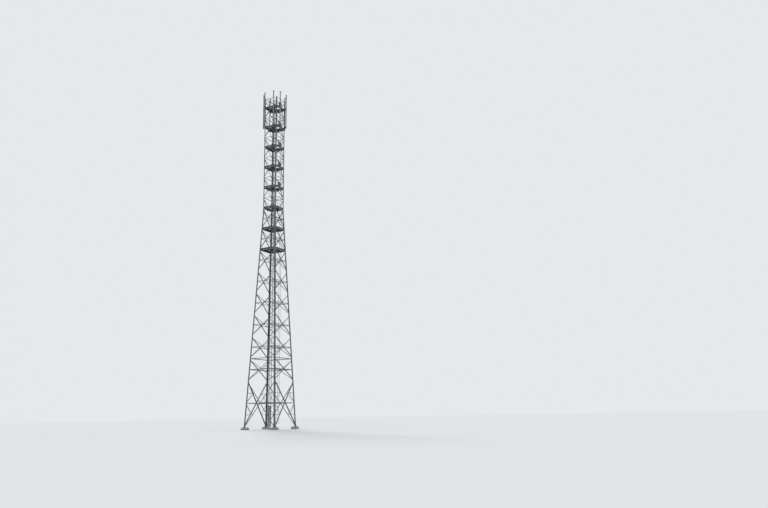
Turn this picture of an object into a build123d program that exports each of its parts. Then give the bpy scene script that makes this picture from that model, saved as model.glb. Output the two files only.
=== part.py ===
from build123d import *
import os
from math import atan, atan2, cos, degrees, hypot, sin, sqrt

# A self-supporting lattice mast on four angle legs, in millimetres.
# It tapers from the foot to a waist and goes straight up from there, with eight
# small platforms in its upper half and eight antenna pipes around the top.
# It is drawn about its own axis, with its front towards -Y, and moved at the end so
# that the origin lies in the middle of the underside of the front left plinth.

# Heights
plinth_height = 250
module = 2500                # height of one bay
first_node = 2               # the bottom panel is two bays high
platform_first = 8           # bay number of the lowest platform
waist_bay = 10
top_bay = 15
waist_drop = 240             # how far the waist lies below its platform
leg_rise = 1100              # legs above the top platform
pipe_rise = 1750             # antenna pipes above the top platform
deck_rise = 100              # floor of a platform above its bay line

# Plan
foot_width = 4100            # over the outer corners of the legs
waist_width = 1700
pipe_reach = 1200            # from the middle of the mast to a pipe
pipe_spread = 630            # from the middle of a side to a pipe

# Legs
lower_leg = 160
lower_leg_thick = 15
upper_leg = 120
upper_leg_thick = 10

# Bracing of a side
base_brace = 90
base_brace_thick = 8
main_brace = 70
main_brace_thick = 6
strong_tie = 80
strong_tie_thick = 8
flat_tie = 60                # flats between the flanges of the legs
flat_stub = 45
light_tie = 50
light_tie_thick = 5
body_brace = 50              # flats as thick as the ledgers
lower_ledger = 100           # angles under the platforms, below the waist
ledger = 80
ledger_thick = 8

# Fits
seat_gap = 0.3               # between bolted faces
corner_clearance = 10        # between the braces of two sides at a leg
node_gap = 200               # from a bay line to the end of a brace

# Feet
plinth_width = 650
plinth_chamfer = 25
foot_inset = 95              # from the corner of a leg to the middle of its foot
base_plate = 400
base_plate_thick = 25

# Platforms
floor_thick = 30
frame_depth = 80
frame_plate = 8
frame_shelf = 50
toe_height = 100
frame_clearance = 5
hatch_width = 600
panel_gap = 5
joist_thick = 8
cable_slot_start = 600
lid_height = 640
lid_depth = 30
lid_plate = 4

# Ladders
ladder_offset = 95           # from the middle of the mast to the middle of a stile
ladder_width = 400
stile = 60
stile_thick = 12
rung = 22
rung_pitch = 300
ladder_foot = 300
ladder_clearance = 10        # between a stile and the edge of its hatch
ladder_beam = 50
tie_bearing = 5              # from the heel of a tie's angle to the end of a beam on it
stand_off = 250              # from the middle of the mast to the beam behind the lower ladder
bracket_thick = 8
guard_width = 600
guard_height = 2300
guard_plate = 3
guard_lip = 25
cable_ladder_x = 690
cable_ladder_y = 470
cable_ladder_width = 300
cable_stile = 40
cable_stile_thick = 6
cable_rung = 30
cable_rung_pitch = 1250
cable_ladder_foot = 600
cable_ladder_rise = 550      # above the top platform

# Antenna pipes
pipe_diameter = 114.3
pipe_drop = 70               # below the floor of the platform that carries the pipes
cap_width = 160              # over the corners of a cap
cap_height = 110
arm = 80
lower_arm_rise = 50          # middle of a lower arm above its platform's floor
saddle_width = 160
saddle_height = 200
saddle_back = 35             # steel behind the bottom of a saddle's vee


def level(bay):
    return plinth_height + bay * module


def deck(bay):
    # Top of a platform's floor
    return level(bay) + deck_rise


waist = level(waist_bay) - waist_drop
lean = atan((foot_width - waist_width) / 2 / (waist - plinth_height))
foot_place = foot_width / 2 - foot_inset
hatch_start = ladder_offset - stile / 2 - ladder_clearance
lower_seat = lower_leg_thick + seat_gap
upper_seat = upper_leg_thick + seat_gap


def corner(height):
    # Half the width over the legs at a height
    if height >= waist:
        return waist_width / 2
    share = (height - plinth_height) / (waist - plinth_height)
    return foot_width / 2 + (waist_width - foot_width) / 2 * share


# A side's own axes, for the front side: x to the right, y up the side, z outwards
lower_outward = (0, -cos(lean), sin(lean))
lower_side = Plane(origin=(0, -foot_width / 2, plinth_height), x_dir=(1, 0, 0), z_dir=lower_outward)
upper_side = Plane(origin=(0, -waist_width / 2, waist), x_dir=(1, 0, 0), z_dir=(0, -1, 0))


def up_side(height):
    # Distance up the side from its lower edge to a height
    if height >= waist:
        return height - waist
    return (height - plinth_height) / cos(lean)


def angle_bar(start, end, width, thick, seat, outward=False):
    # An angle whose flat leg lies in the side and is centred on the line
    run = Vector(end[0] - start[0], up_side(end[1]) - up_side(start[1]), 0)
    across = Vector(-run.Y, run.X, 0)
    turn = 1 if outward else -1
    edge = width / 2
    outline = [
        (-edge, turn * seat),
        (edge, turn * seat),
        (edge, turn * (seat + width)),
        (edge - thick, turn * (seat + width)),
        (edge - thick, turn * (seat + thick)),
        (-edge, turn * (seat + thick)),
    ]
    section = Plane(origin=(start[0], up_side(start[1]), 0), x_dir=across, z_dir=run)
    return extrude(section * make_face(Polyline(*outline, close=True)), amount=run.length)


def flat_strip(start, end, width):
    # The outline of a flat bar in the plane of a lower side
    rise = up_side(end[1]) - up_side(start[1])
    run = end[0] - start[0]
    middle = Pos((start[0] + end[0]) / 2, (up_side(start[1]) + up_side(end[1])) / 2)
    return middle * Rot(0, 0, degrees(atan2(rise, run))) * Rectangle(hypot(run, rise), width)


def flat_layer(strips):
    # Flat bars as thick as the legs, which end at the edges of their flanges
    low, high = plinth_height, waist - flat_tie
    low_reach, high_reach = (corner(height) - lower_leg - seat_gap for height in (low, high))
    zone = [
        (-low_reach, up_side(low)), (low_reach, up_side(low)),
        (high_reach, up_side(high)), (-high_reach, up_side(high)),
    ]
    layer = (Sketch() + strips) & make_face(Polyline(*zone, close=True))
    return Pos(0, 0, -lower_seat) * extrude(layer, amount=lower_seat + seat_gap, dir=(0, 0, 1))


def bar_end(height, width, seat):
    # How far from the middle of the side a brace ends at a leg
    return corner(height) - seat - width - corner_clearance


def tie(height, width, thick, seat):
    # A horizontal angle from leg to leg, with its shelf at the top
    reach = bar_end(height, width, seat)
    return angle_bar((-reach, height), (reach, height), width, thick, seat)


def crossing(low, high, width):
    # Height at which two crossed braces meet
    low_reach = bar_end(low, width, lower_seat)
    high_reach = bar_end(high, width, lower_seat)
    return low + (high - low) * low_reach / (low_reach + high_reach)


def crossed_braces(low, high, width, thick):
    # One brace inside the flanges of the legs and the other one outside them
    low_reach = bar_end(low, width, lower_seat)
    high_reach = bar_end(high, width, lower_seat)
    inner = angle_bar((-low_reach, low), (high_reach, high), width, thick, lower_seat)
    outer = angle_bar((-high_reach, high), (low_reach, low), width, thick, seat_gap, True)
    return [inner, outer]


def bay_ends(bay):
    low = level(bay) + node_gap
    high = level(bay + 1) - node_gap
    if bay + 1 == waist_bay:
        high = waist - main_brace
    return low, high


def tie_height(bay):
    # Height of the thin tie of a bay
    if bay >= waist_bay:
        return level(bay) + module / 2
    return crossing(*bay_ends(bay), main_brace)


base_low = plinth_height + base_plate_thick + base_brace
base_high = level(first_node) - node_gap
base_tie = crossing(base_low, base_high, base_brace)


def frame_half(bay):
    # Half the outer size of a platform's frame, clear of the braces beside it
    top = deck(bay) + toe_height
    seat = upper_seat if bay >= waist_bay else lower_seat
    depth = body_brace if bay >= waist_bay else main_brace
    return corner(top) - (seat + depth) / cos(lean) - frame_clearance


def frame_bottom(bay):
    return deck(bay) - floor_thick - frame_depth


def ledger_height(bay):
    # Middle height of the ledger whose shelf carries the edge of a platform's frame
    low = frame_bottom(bay)
    if bay >= waist_bay:
        return low - seat_gap - ledger / 2
    inset = (corner(low) - frame_half(bay)) * cos(lean)
    return low - seat_gap - lower_ledger / 2 * cos(lean) + inset * sin(lean)


def pack(height, width):
    # The outline of the packing plate between two braces where they cross
    return flat_strip((-width / 2, height), (width / 2, height), width)


def bottom_stubs():
    # Short flats from the legs to the quarter points of the large cross
    strips = []
    for side in (-1, 1):
        tie_start = (side * corner(base_tie), base_tie)
        for height in (base_low, base_high):
            half = (height + base_tie) / 2
            brace_point = (side * bar_end(height, base_brace, lower_seat) / 2, half)
            strips.append(flat_strip((side * corner(half), half), brace_point, flat_stub))
            strips.append(flat_strip(tie_start, brace_point, flat_stub))
    return strips


def lower_bracing():
    bars = crossed_braces(base_low, base_high, base_brace, base_brace_thick)
    strips = [pack(base_tie, base_brace), pack(tie_height(first_node), main_brace)] + bottom_stubs()
    for height in (base_tie, level(first_node + 1), tie_height(first_node)):
        bars.append(tie(height, strong_tie, strong_tie_thick, lower_seat))
    for bay in range(first_node, waist_bay):
        bars += crossed_braces(*bay_ends(bay), main_brace, main_brace_thick)
        middle = tie_height(bay)
        if bay > first_node:
            strips.append(flat_strip((-corner(middle), middle), (corner(middle), middle), flat_tie))
    for bay in range(platform_first, waist_bay):
        bars.append(tie(ledger_height(bay), lower_ledger, ledger_thick, lower_seat))
    return lower_side * (Part() + bars + flat_layer(strips))


def body_braces(bay):
    # Flats from the ledgers' middles to the legs, which they meet near half height
    middle = tie_height(bay)
    reach = bar_end(middle, body_brace, upper_seat)
    strips = []
    for side in (-1, 1):
        for root, end in ((bay, middle - node_gap), (bay + 1, middle + node_gap)):
            strips.append(flat_strip((0, ledger_height(root)), (side * reach, end), body_brace))
    return strips


def upper_bracing():
    bars = []
    strips = []
    for bay in range(waist_bay, top_bay):
        bars.append(tie(tie_height(bay), light_tie, light_tie_thick, upper_seat))
        strips += body_braces(bay)
    for bay in range(waist_bay, top_bay + 1):
        bars.append(tie(ledger_height(bay), ledger, ledger_thick, upper_seat))
    layer = extrude(Sketch() + strips, amount=ledger_thick, dir=(0, 0, -1))
    return upper_side * (Part() + bars + Pos(0, 0, -upper_seat) * layer)


def leg_section(height, width, thick):
    # The angle of a leg, with its outer corner at the front left
    edge = -corner(height)
    inner = edge + thick
    tip = edge + width
    outline = [(edge, edge), (tip, edge), (tip, inner), (inner, inner), (inner, tip), (edge, tip)]
    return Pos(0, 0, height) * make_face(Polyline(*outline, close=True))


def lower_leg_part():
    foot = plinth_height + base_plate_thick
    inwards = corner(foot) - corner(waist)
    path = Vector(inwards, inwards, waist - foot)
    post = extrude(leg_section(foot, lower_leg, lower_leg_thick), amount=path.length, dir=path)
    plate = Box(base_plate, base_plate, base_plate_thick)
    return post + Pos(-foot_place, -foot_place, foot - base_plate_thick / 2) * plate


def upper_leg_part():
    length = deck(top_bay) + leg_rise - waist
    return extrude(leg_section(waist, upper_leg, upper_leg_thick), amount=length)


def plinth():
    block = Pos(-foot_place, -foot_place, plinth_height / 2) * Box(plinth_width, plinth_width, plinth_height)
    return chamfer(block.edges().group_by(Axis.Z)[-1], plinth_chamfer)


def hatch_side(bay):
    # The hatch lies on the left up to the waist and on the right above it
    return -1 if bay <= waist_bay else 1


def frame_side(bay, wall_length, shelf_length):
    # The front side of a platform's frame: a tall plate and a shelf for the floor
    low = frame_bottom(bay)
    high = deck(bay) + toe_height
    depth = frame_plate + frame_shelf
    shelf_height = deck(bay) - floor_thick - frame_plate / 2
    wall = Pos(0, frame_plate / 2, (low + high) / 2) * Box(wall_length, frame_plate, high - low)
    shelf = Pos(0, depth / 2, shelf_height) * Box(shelf_length, depth, frame_plate)
    return Pos(0, -frame_half(bay), 0) * (wall + shelf)


def joist(wall_length, shelf_length, low):
    # A plate between two sides, notched under their shelves
    notched = frame_depth - frame_plate - seat_gap
    whole = Pos(0, 0, frame_depth / 2) * Box(shelf_length, joist_thick, frame_depth)
    return Pos(0, 0, low) * (whole + Pos(0, 0, notched / 2) * Box(wall_length, joist_thick, notched))


def platform_frame(bay):
    # Four sides, two joists and the trimmer of the hatch
    size = 2 * frame_half(bay)
    low = frame_bottom(bay)
    between_walls = size - 2 * (frame_plate + seat_gap)
    between_shelves = between_walls - 2 * frame_shelf
    bars = []
    for turn in range(4):
        lengths = (between_walls, between_shelves) if turn % 2 else (size, size)
        bars.append(Rot(0, 0, 90 * turn) * frame_side(bay, *lengths))
    for way in (-1, 1):
        place = Pos(0, way * (hatch_width + joist_thick) / 2, 0)
        bars.append(place * joist(between_walls, between_shelves, low))
    trimmer = Box(joist_thick, hatch_width - 2 * seat_gap, frame_depth)
    edge = hatch_side(bay) * (hatch_start - joist_thick / 2)
    bars.append(Pos(edge, 0, low + frame_depth / 2) * trimmer)
    return Compound(bars)


def floor_panel(x_range, y_range, bay):
    size_x = x_range[1] - x_range[0]
    size_y = y_range[1] - y_range[0]
    place = Pos(sum(x_range) / 2, sum(y_range) / 2, deck(bay) - floor_thick / 2)
    return place * Box(size_x, size_y, floor_thick)


def floor_panels(bay):
    # Three panels of grating leave the hatch and a slot for cables open
    edge = frame_half(bay) - frame_plate - panel_gap
    side = hatch_side(bay)
    inner = sorted((-side * edge, side * hatch_start))
    beside = hatch_width / 2
    return [
        floor_panel((-edge, edge), (-edge, -beside), bay),
        floor_panel((-edge, cable_slot_start), (beside, edge), bay),
        floor_panel(inner, (panel_gap - beside, beside - panel_gap), bay),
    ]


def hatch_lid(bay):
    # A folded tray that stands open against the toe plate
    face = frame_half(bay) - frame_plate - seat_gap
    foot = deck(bay) - floor_thick + seat_gap
    width = hatch_width - 2 * panel_gap
    tray = Box(lid_depth, width, lid_height) - Pos(lid_plate / 2, 0, 0) * Box(
        lid_depth - lid_plate, width - 2 * lid_plate, lid_height - 2 * lid_plate
    )
    return Pos(face - lid_depth / 2, 0, foot + lid_height / 2) * tray


def ladder(x, low, high, width, rail, rail_thick, step, pitch):
    # Two flat stiles with square rungs, standing across the mast
    rail_y = (width + rail_thick) / 2
    bars = [Pos(x, way * rail_y, (low + high) / 2) * Box(rail, rail_thick, high - low) for way in (-1, 1)]
    height = low + pitch / 2
    while height < high:
        bars.append(Pos(x, 0, height) * Box(step, width, step))
        height += pitch
    return Part() + bars


def climbing_ladder(x, low, high):
    return ladder(x, low, high, ladder_width, stile, stile_thick, rung, rung_pitch)


def cable_ladder():
    high = deck(top_bay) + cable_ladder_rise
    rails = (cable_ladder_width, cable_stile, cable_stile_thick, cable_rung, cable_rung_pitch)
    return Pos(0, cable_ladder_y, 0) * ladder(cable_ladder_x, cable_ladder_foot, high, *rails)


def ladder_guard():
    # A folded sheet that closes the foot of the ladder
    face = -ladder_offset - stile / 2 - seat_gap
    sheet = Box(guard_lip, guard_width, guard_height) - Pos(-guard_plate / 2, 0, 0) * Box(
        guard_lip - guard_plate, guard_width - 2 * guard_plate, guard_height - 2 * guard_plate
    )
    return Pos(face - guard_lip / 2, 0, ladder_foot + guard_height / 2) * sheet


def support_beam(x, way, low, reach):
    # A square tube between the ties of the front and back sides
    place = Pos(x + way * ladder_beam / 2, 0, low + ladder_beam / 2)
    return place * Box(ladder_beam, 2 * reach, ladder_beam)


def stand_off_beam(low, reach):
    # The beam behind the lower ladder, with a bracket to the outside of each stile
    beam = support_beam(stand_off, 1, low, reach)
    length = stand_off + ladder_offset
    outside = ladder_width / 2 + stile_thick + seat_gap + bracket_thick / 2
    for way in (-1, 1):
        bracket = Box(length, bracket_thick, ladder_beam)
        beam += Pos(stand_off - length / 2, way * outside, low + ladder_beam / 2) * bracket
    return beam


def supported_ties():
    # For each tie its height, how far above it a beam's underside lies, and the depth of its end
    ties = []
    for height in (base_tie, tie_height(first_node)):
        ties.append((height, strong_tie / 2, lower_seat + tie_bearing))
    for bay in range(first_node + 1, waist_bay):
        ties.append((tie_height(bay), -ladder_beam / 2, lower_seat + seat_gap))
    for bay in range(waist_bay, top_bay):
        ties.append((tie_height(bay), light_tie / 2, upper_seat + tie_bearing))
    return ties


def ladder_supports():
    beams = []
    for height, rise, end in supported_ties():
        slope = lean if height < waist else 0
        low = height + rise * cos(slope) - end * sin(slope) + seat_gap
        reach = corner(low + ladder_beam) - end / cos(slope)
        if height < waist:
            beams.append(stand_off_beam(low, reach))
        else:
            beams.append(support_beam(ladder_offset - stile / 2 - seat_gap, -1, low, reach))
        beams.append(support_beam(cable_ladder_x + cable_stile / 2 + seat_gap, 1, low, reach))
    return Compound(beams)


def antenna_arm(bay, rise, spread):
    # A square arm from the platform's frame to a vee saddle for one pipe, front side
    root = frame_half(bay) + seat_gap
    middle = deck(bay) + rise
    vee = pipe_reach - (pipe_diameter / 2 + seat_gap) * sqrt(2)
    back = vee - saddle_back
    half = saddle_width / 2
    beam = Pos(spread, -(root + back) / 2, middle) * Box(arm, back - root, arm)
    outline = [(-half, -back), (half, -back), (half, -vee - half), (0, -vee), (-half, -vee - half)]
    saddle = extrude(make_face(Polyline(*outline, close=True)), amount=saddle_height, dir=(0, 0, 1))
    return beam + Pos(spread, 0, middle - saddle_height / 2) * saddle


def antenna_arms(bay, rise):
    arms = []
    for turn in range(4):
        for spread in (-pipe_spread, pipe_spread):
            arms.append(Rot(0, 0, 90 * turn) * antenna_arm(bay, rise, spread))
    return Compound(arms)


def antenna_pipes():
    # The two pipes of the front side, each closed by an eight-sided cap
    low = deck(top_bay - 1) - pipe_drop
    high = deck(top_bay) + pipe_rise - cap_height
    cap = extrude(RegularPolygon(cap_width / 2, 8), amount=cap_height)
    pipes = []
    for spread in (-pipe_spread, pipe_spread):
        pipe = Pos(spread, -pipe_reach, (low + high) / 2) * Cylinder(pipe_diameter / 2, high - low)
        pipes.append(pipe + Pos(spread, -pipe_reach, high) * cap)
    return Compound(pipes)


def top_rail():
    # Two rails and a post on each side above the top platform
    floor = deck(top_bay)
    high = floor + leg_rise - light_tie / 2
    middle = floor + leg_rise / 2
    post = angle_bar((0, floor), (0, high), light_tie, light_tie_thick, upper_seat)
    rails = [tie(height, light_tie, light_tie_thick, upper_seat) for height in (middle, high)]
    side = upper_side * (Part() + rails + post)
    return Compound([Rot(0, 0, 90 * turn) * side for turn in range(4)])


sides = ["front", "right", "back", "left"]
corners = ["front_left", "front_right", "back_right", "back_left"]
repeated = {
    "plinth": (corners, plinth()),
    "lower_leg": (corners, lower_leg_part()),
    "upper_leg": (corners, upper_leg_part()),
    "lower_bracing": (sides, lower_bracing()),
    "upper_bracing": (sides, upper_bracing()),
    "antenna_pipes": (sides, antenna_pipes()),
}
nodes = {}
for name, (places, piece) in repeated.items():
    for turn, place in enumerate(places):
        nodes[f"{name}_{place}"] = Rot(0, 0, 90 * turn) * piece

floors = []
for number, bay in enumerate(range(platform_first, top_bay + 1), 1):
    nodes[f"platform_frame_{number}"] = platform_frame(bay)
    floors += floor_panels(bay)
nodes["platform_floors"] = Compound(floors)
nodes["hatch_lids"] = Compound([hatch_lid(bay) for bay in range(waist_bay + 1, top_bay + 1)])

ladder_change = deck(waist_bay) + seat_gap
nodes["lower_ladder"] = climbing_ladder(-ladder_offset, ladder_foot, deck(waist_bay) + leg_rise)
nodes["upper_ladder"] = climbing_ladder(ladder_offset, ladder_change, deck(top_bay) + leg_rise)
nodes["ladder_guard"] = ladder_guard()
nodes["ladder_supports"] = ladder_supports()
nodes["cable_ladder"] = cable_ladder()
nodes["antenna_arms_lower"] = antenna_arms(top_bay - 1, lower_arm_rise)
nodes["antenna_arms_upper"] = antenna_arms(top_bay, -floor_thick - frame_depth / 2)
nodes["top_rail"] = top_rail()

datum = Pos(foot_place, foot_place, 0)
os.makedirs("parts", exist_ok=True)
for name, piece in nodes.items():
    export_step(datum * piece, f"parts/{name}.step")
print(len(nodes), "nodes")
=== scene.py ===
import math

import bmesh
import bpy
from mathutils import Matrix, Vector


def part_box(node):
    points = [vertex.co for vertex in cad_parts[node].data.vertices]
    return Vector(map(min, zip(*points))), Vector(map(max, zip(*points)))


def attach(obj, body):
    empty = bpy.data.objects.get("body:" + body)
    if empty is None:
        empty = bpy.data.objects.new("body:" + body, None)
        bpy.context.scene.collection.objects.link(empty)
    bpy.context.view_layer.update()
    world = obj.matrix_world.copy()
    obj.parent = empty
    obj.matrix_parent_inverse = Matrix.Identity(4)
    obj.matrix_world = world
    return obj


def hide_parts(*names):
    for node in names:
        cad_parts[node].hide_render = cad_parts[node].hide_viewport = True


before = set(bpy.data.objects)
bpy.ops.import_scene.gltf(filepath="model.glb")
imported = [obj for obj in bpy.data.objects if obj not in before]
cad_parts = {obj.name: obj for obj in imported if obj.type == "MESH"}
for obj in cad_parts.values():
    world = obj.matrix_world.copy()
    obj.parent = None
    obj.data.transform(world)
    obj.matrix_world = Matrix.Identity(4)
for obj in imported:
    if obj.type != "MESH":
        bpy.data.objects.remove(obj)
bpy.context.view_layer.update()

print("stage: the mast's frame is loaded")

# the mast in metres; its axis stands in the middle of its four plinths
mast = {
    "module": 2.5,  # height of one bay
    "firstNode": 2,  # the bottom panel is two bays high
    "platformFirst": 8,
    "waistBay": 10,
    "topBay": 15,
    "footHalf": 2.05,  # half the width over the legs at the plinths
    "cornerClearance": 0.01,
    "nodeGap": 0.2,  # from a bay line to the end of a brace
    "deckRise": 0.1,  # floor of a platform above its bay line
    "deckDepth": 0.11,  # a floor and the frame under it
    "seatGap": 0.0003,  # between bolted faces
    "ledgerLift": 0.0045,  # of the ledgers that lean with their side
}
bars = {
    "baseBrace": (0.09, 0.008),  # width and thickness
    "mainBrace": (0.07, 0.006),
    "strongTie": (0.08, 0.008),
    "lowerLedger": (0.1, 0.008),
    "ledger": (0.08, 0.008),
    "lightTie": (0.05, 0.005),
    "bodyBrace": (0.05, 0.008),
    "lowerLeg": (0.16, 0.015),
    "upperLeg": (0.12, 0.01),
}
axis = (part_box("plinth_front_left")[0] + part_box("plinth_back_right")[1]) / 2
axis.z = 0
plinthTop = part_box("plinth_front_left")[1].z
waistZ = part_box("upper_leg_front_left")[0].z
waistHalf = axis.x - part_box("upper_leg_front_left")[0].x
lean = math.atan((mast["footHalf"] - waistHalf) / (waistZ - plinthTop))


# one class wraps a socket, the other adds nodes


class Wire:
    def __init__(self, board, socket):
        self.board = board
        self.socket = socket

    def out(self, name):  # another output of the same node
        return Wire(self.board, self.socket.node.outputs[name])

    def math(self, operation, left, right):
        return self.board.node("ShaderNodeMath", {"operation": operation}, {0: left, 1: right})

    def __add__(self, other):
        return self.math("ADD", self, other)

    def __sub__(self, other):
        return self.math("SUBTRACT", self, other)

    def __rsub__(self, other):
        return self.math("SUBTRACT", other, self)

    def __mul__(self, other):
        return self.math("MULTIPLY", self, other)

    def __truediv__(self, other):
        return self.math("DIVIDE", self, other)

    def __rtruediv__(self, other):
        return self.math("DIVIDE", other, self)

    __radd__ = __add__
    __rmul__ = __mul__


class Board:
    def __init__(self, tree):
        self.tree = tree

    def node(self, kind, settings=None, values=None, output=0):
        made = self.tree.nodes.new(kind)
        for name, value in (settings or {}).items():
            if name == "stops":
                for stop, (place, grey) in zip(made.color_ramp.elements, value):
                    stop.position = place
                    stop.color = (grey, grey, grey, 1)
            else:
                setattr(made, name, value)
        for name, value in (values or {}).items():
            for part in value if isinstance(value, list) else [value]:
                if isinstance(part, Wire):
                    self.tree.links.new(part.socket, made.inputs[name])
                else:
                    made.inputs[name].default_value = part
        return Wire(self, made.outputs[output]) if made.outputs else None

    def mix(self, factor, low, high):  # between two colours
        return self.node("ShaderNodeMix", {"data_type": "RGBA"}, {0: factor, 6: low, 7: high}, 2)

    def noise(self, place, scale, detail=4, rough=0.55):
        values = {"Vector": place, "Scale": scale, "Detail": detail, "Roughness": rough}
        return self.node("ShaderNodeTexNoise", {}, values)

    def cells(self, place, scale, output):
        return self.node("ShaderNodeTexVoronoi", {}, {"Vector": place, "Scale": scale}, output)

    def ramp(self, value, low, high):  # 0 below low and 1 above high
        return self.node("ShaderNodeValToRGB", {"stops": [(low, 0), (high, 1)]}, {0: value})

    def bump(self, height, strength, distance):
        values = {"Strength": strength, "Distance": distance, "Height": height}
        return self.node("ShaderNodeBump", {}, values)


def shade(rgb, factor=1.0, lift=0.0):
    return (*[min(1, part * factor + lift) for part in rgb], 1)


def newFinish(name):
    material = bpy.data.materials.new(name)
    material.use_nodes = True
    board = Board(material.node_tree)
    place = board.node("ShaderNodeTexCoord", output="Object")
    return material, board, material.node_tree.nodes["Principled BSDF"], place


def connect(board, shader, **values):
    for name, value in values.items():
        socket = shader.inputs[name.replace("_", " ")]
        if isinstance(value, Wire):
            board.tree.links.new(value.socket, socket)
        else:
            socket.default_value = value


# finishes

zincLook = {
    "patches": (0.9, 5),  # scale, detail and roughness of a pattern
    "clouds": (7, 6, 0.65),
    "drips": (1.6, 3),
    "chalk": (3.1, 6, 0.7),
    "stretch": (16, 16, 0.7),  # makes the drips narrow, and long down the steel
    "shares": (0.6, 0.3, 0.14),  # of patches, clouds and crystals in the tint
    "tintEdges": (0.34, 0.68),
    "dripEdges": (0.52, 0.72),
    "chalkEdges": (0.62, 0.76),
    "dark": 0.62,  # factors on the tone in its darkest and palest parts
    "pale": 1.32,
    "dirt": 0.45,
    "lift": 0.02,  # added to the pale and the dirty parts
    "chalkTone": (0.62, 0.65, 0.65),
    "chalkShare": 0.35,
    "rough": (0.4, 0.12, 0.12, 0.18),  # and what crystals, clouds and chalk add
    "relief": (0.3, 0.18, 0.002),  # crystals' share, strength and depth
}
zincTones = {  # spangle is the scale of the crystals, grime the strength of the drips
    # legs: the zinc's own tone, darkened below the bracing's as painted shade for legs seen against the
    # light
    "legs": {"tone": (0.135, 0.15, 0.158)},
    "bracing": {"tone": (0.19, 0.205, 0.215)},
    # frames and grating: the same zinc toned far darker, as painted shade for the platforms' shaded
    # undersides; the antenna arms take the frames' tone too
    "frames": {"tone": (0.095, 0.10, 0.105), "grime": 0.5},
    "grating": {"tone": (0.085, 0.09, 0.095), "spangle": 110, "grime": 0.4},
    "sheet": {"tone": (0.58, 0.61, 0.60), "spangle": 35, "grime": 0.2, "metallic": 0.3},
    # lids: zinc toned dark as painted shade for their unlit side
    "lids": {"tone": (0.13, 0.14, 0.145), "spangle": 35, "grime": 0.4},
    "ladders": {"tone": (0.16, 0.17, 0.18), "grime": 0.3, "metallic": 0.4},
    "rack": {"tone": (0.37, 0.39, 0.40), "grime": 0.3, "metallic": 0.4},
    "pipes": {"tone": (0.24, 0.27, 0.265), "spangle": 45, "grime": 0.3},
    "bolts": {"tone": (0.25, 0.265, 0.27), "spangle": 300, "grime": 0.2, "metallic": 0.6},
}


def zincFinish(name, tone, spangle=60, grime=0.35, metallic=0.55):
    material, board, shader, place = newFinish(name)
    look, lift = zincLook, zincLook["lift"]
    crystal = board.node("ShaderNodeSeparateColor", {}, {0: board.cells(place, spangle, "Color")})
    patches = board.noise(place, *look["patches"])
    cloud = board.noise(place, *look["clouds"])
    down = board.node("ShaderNodeMapping", {}, {"Vector": place, "Scale": look["stretch"]})
    drips = board.ramp(board.noise(down, *look["drips"]), *look["dripEdges"])
    chalk = board.ramp(board.noise(place, *look["chalk"]), *look["chalkEdges"])
    byPatches, byCloud, byCrystal = look["shares"]
    tint = board.ramp(patches * byPatches + cloud * byCloud + crystal * byCrystal, *look["tintEdges"])
    colour = board.mix(tint, shade(tone, look["dark"]), shade(tone, look["pale"], lift))
    colour = board.mix(drips * grime, colour, shade(tone, look["dirt"], lift))
    colour = board.mix(chalk * look["chalkShare"], colour, shade(look["chalkTone"]))
    base, byCrystal, byCloud, byChalk = look["rough"]
    rough = base + crystal * byCrystal + cloud * byCloud + chalk * byChalk
    byCrystal, strength, depth = look["relief"]
    bump = board.bump(cloud + crystal * byCrystal, strength, depth)
    connect(board, shader, Base_Color=colour, Roughness=rough, Metallic=metallic, Normal=bump)
    return material


concreteLook = {
    "tone": (0.50, 0.49, 0.45),
    "dark": 0.72,  # factors on the tone in its darkest and palest parts
    "pale": 1.28,
    "patches": (2.2, 6, 0.6),  # scale, detail and roughness of a pattern
    "grit": (90, 4, 0.7),
    "gritTone": (0.3, 0.29, 0.26),
    "gritShare": 0.22,
    "pores": 34,  # their scale
    "poreEdges": (0.1, 0.2),
    "poreTone": (0.13, 0.125, 0.11),
    "poreShare": 0.7,
    "damp": (3, 0.5),  # how fast it ends above the foot, and how much the patches shift it
    "dampEdges": (0.25, 0.8),
    "dampTone": (0.19, 0.19, 0.13),
    "dampShare": 0.6,
    "rough": (0.75, 0.2),  # and what the grit adds
    "relief": (0.4, 0.6, 1.5, 0.5, 0.004),  # grit, patches, pores, strength and depth
}


def concreteFinish():
    material, board, shader, place = newFinish("castConcrete")
    look = concreteLook
    patches = board.noise(place, *look["patches"])
    grit = board.noise(place, *look["grit"])
    holes = 1 - board.ramp(board.cells(place, look["pores"], "Distance"), *look["poreEdges"])
    height = board.node("ShaderNodeSeparateXYZ", {}, {0: place}, "Z")
    fade, shift = look["damp"]
    damp = 1 - board.ramp(height * fade + patches * shift, *look["dampEdges"])
    colour = board.mix(patches, shade(look["tone"], look["dark"]), shade(look["tone"], look["pale"]))
    colour = board.mix(grit * look["gritShare"], colour, shade(look["gritTone"]))
    colour = board.mix(damp * look["dampShare"], colour, shade(look["dampTone"]))
    colour = board.mix(holes * look["poreShare"], colour, shade(look["poreTone"]))
    byGrit, byPatches, byPores, strength, depth = look["relief"]
    bump = board.bump(grit * byGrit + patches * byPatches - holes * byPores, strength, depth)
    base, more = look["rough"]
    connect(board, shader, Base_Color=colour, Roughness=base + grit * more, Normal=bump)
    return material


capLook = {
    "worn": (24, 5),  # scale and detail of the wear
    "dark": (0.018, 0.02, 0.022),
    "pale": (0.06, 0.065, 0.07),
    "rough": (0.65, 0.3),  # and what the wear adds
    "relief": (0.2, 0.001),
}


def capFinish():
    material, board, shader, place = newFinish("darkCap")
    worn = board.noise(place, *capLook["worn"])
    colour = board.mix(worn, shade(capLook["dark"]), shade(capLook["pale"]))
    base, more = capLook["rough"]
    bump = board.bump(worn, *capLook["relief"])
    connect(board, shader, Base_Color=colour, Roughness=base + worn * more, Normal=bump)
    return material


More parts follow.
